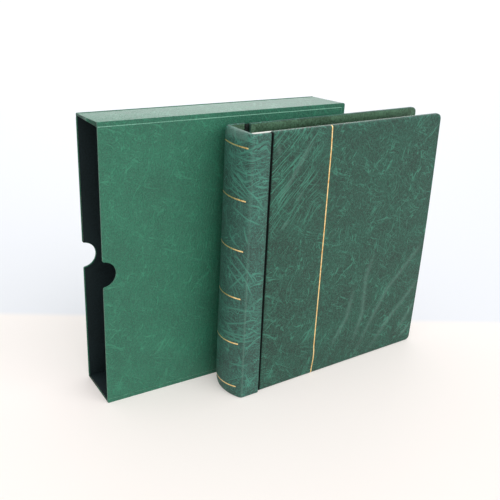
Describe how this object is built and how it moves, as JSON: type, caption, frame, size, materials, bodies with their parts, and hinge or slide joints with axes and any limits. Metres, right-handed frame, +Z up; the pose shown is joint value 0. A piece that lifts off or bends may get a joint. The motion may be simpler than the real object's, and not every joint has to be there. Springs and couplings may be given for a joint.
{
  "type": "stamp album",
  "caption": "Padded leatherette stamp album with hinged covers, turning leaves and a turn-bar peg binder, beside its open-ended slipcase with thumb notches.",
  "frame": {"origin": "middle of the set's footprint on the table, between the album and its slipcase", "axes": "+Z up; +X along the album's covers from spine to fore-edge; +Y from the front cover towards the slipcase behind"},
  "size_m": [0.4175, 0.1331, 0.3225],
  "materials": {
    "album_leather": "dark green embossed leatherette, satin",
    "case_leather": "green crinkled leatherette, satin",
    "lining_cloth": "dark green grained lining, matte",
    "case_black": "black lining paper, matte",
    "greyboard": "grey binder's board",
    "foam": "thin upholstery foam",
    "leaf_card": "white album card, matte",
    "rail_metal": "extruded, satin",
    "bright_steel": "bright nickel-plated steel"
  },
  "bodies": {
    "back_cover": {"back_leather": "album_leather", "back_padding": "foam", "back_board": "greyboard", "back_endpaper": "lining_cloth"},
    "spine": {"spine_leather": "album_leather", "spine_board": "greyboard", "front_strip_board": "greyboard", "rear_strip_board": "greyboard", "spine_lining": "lining_cloth", "front_groove": "album_leather", "rear_groove": "album_leather", "front_rail": "rail_metal", "rear_rail": "rail_metal", "binding_pegs": "bright_steel", "rail_rivets": "bright_steel", "leaf_guards": "leaf_card", "still_leaves": "leaf_card"},
    "front_cover": {"front_leather": "album_leather", "front_padding": "foam", "front_board": "greyboard", "front_endpaper": "lining_cloth"},
    "turn_bar": {"turn_bar": "bright_steel", "turn_lever": "bright_steel", "lever_pin": "bright_steel"},
    "leaf_1": {"leaf_1": "leaf_card"},
    "leaf_2": {"leaf_2": "leaf_card"},
    "leaf_3": {"leaf_3": "leaf_card"},
    "leaf_4": {"leaf_4": "leaf_card"},
    "leaf_5": {"leaf_5": "leaf_card"},
    "leaf_6": {"leaf_6": "leaf_card"},
    "leaf_7": {"leaf_7": "leaf_card"},
    "leaf_8": {"leaf_8": "leaf_card"},
    "slipcase": {"case_front_board": "greyboard", "case_front_leather": "case_leather", "case_back_board": "greyboard", "case_back_leather": "case_leather", "case_top_board": "greyboard", "case_bottom_board": "greyboard", "case_end_board": "greyboard", "case_band_leather": "case_leather", "case_lining": "case_black"}
  },
  "joints": [
    {"name": "rear_hinge", "type": "hinge", "parent": "back_cover", "child": "spine", "pos_m": [-0.04639, -0.01316, 0.1575], "axis": [0, 0, -1], "range_deg": [0, 20]},
    {"name": "front_hinge", "type": "hinge", "parent": "spine", "child": "front_cover", "pos_m": [-0.04639, -0.06598, 0.1575], "axis": [0, 0, -1], "range_deg": [0, 176]},
    {"name": "turn_bar_lock", "type": "hinge", "parent": "spine", "child": "turn_bar", "pos_m": [-0.06154, -0.05978, 0.1575], "axis": [0, 0, 1], "range_deg": [0, 90]},
    {"name": "slipcase_slide", "type": "slide", "parent": "back_cover", "child": "slipcase", "axis": [-0.9992, 0.0391, 0], "range_m": [0, 0.32]},
    {"name": "leaf_1_turn", "type": "hinge", "parent": "spine", "child": "leaf_1", "pos_m": [-0.03144, -0.05668, 0.1575], "axis": [0, 0, -1], "range_deg": [0, 120]},
    {"name": "leaf_2_turn", "type": "hinge", "parent": "spine", "child": "leaf_2", "pos_m": [-0.03014, -0.05532, 0.1575], "axis": [0, 0, -1], "range_deg": [0, 107]},
    {"name": "leaf_3_turn", "type": "hinge", "parent": "spine", "child": "leaf_3", "pos_m": [-0.02884, -0.05396, 0.1575], "axis": [0, 0, -1], "range_deg": [0, 94]},
    {"name": "leaf_4_turn", "type": "hinge", "parent": "spine", "child": "leaf_4", "pos_m": [-0.02754, -0.0526, 0.1575], "axis": [0, 0, -1], "range_deg": [0, 81]},
    {"name": "leaf_5_turn", "type": "hinge", "parent": "spine", "child": "leaf_5", "pos_m": [-0.02624, -0.05124, 0.1575], "axis": [0, 0, -1], "range_deg": [0, 68]},
    {"name": "leaf_6_turn", "type": "hinge", "parent": "spine", "child": "leaf_6", "pos_m": [-0.02494, -0.04988, 0.1575], "axis": [0, 0, -1], "range_deg": [0, 55]},
    {"name": "leaf_7_turn", "type": "hinge", "parent": "spine", "child": "leaf_7", "pos_m": [-0.02364, -0.04852, 0.1575], "axis": [0, 0, -1], "range_deg": [0, 42]},
    {"name": "leaf_8_turn", "type": "hinge", "parent": "spine", "child": "leaf_8", "pos_m": [-0.02234, -0.04716, 0.1575], "axis": [0, 0, -1], "range_deg": [0, 29]}
  ],
  "couplings": [
    {"joint": "leaf_1_turn", "follows": "front_hinge", "ratio": 0.68182},
    {"joint": "leaf_2_turn", "follows": "front_hinge", "ratio": 0.60795},
    {"joint": "leaf_3_turn", "follows": "front_hinge", "ratio": 0.53409},
    {"joint": "leaf_4_turn", "follows": "front_hinge", "ratio": 0.46023},
    {"joint": "leaf_5_turn", "follows": "front_hinge", "ratio": 0.38636},
    {"joint": "leaf_6_turn", "follows": "front_hinge", "ratio": 0.3125},
    {"joint": "leaf_7_turn", "follows": "front_hinge", "ratio": 0.23864},
    {"joint": "leaf_8_turn", "follows": "front_hinge", "ratio": 0.16477}
  ]
}
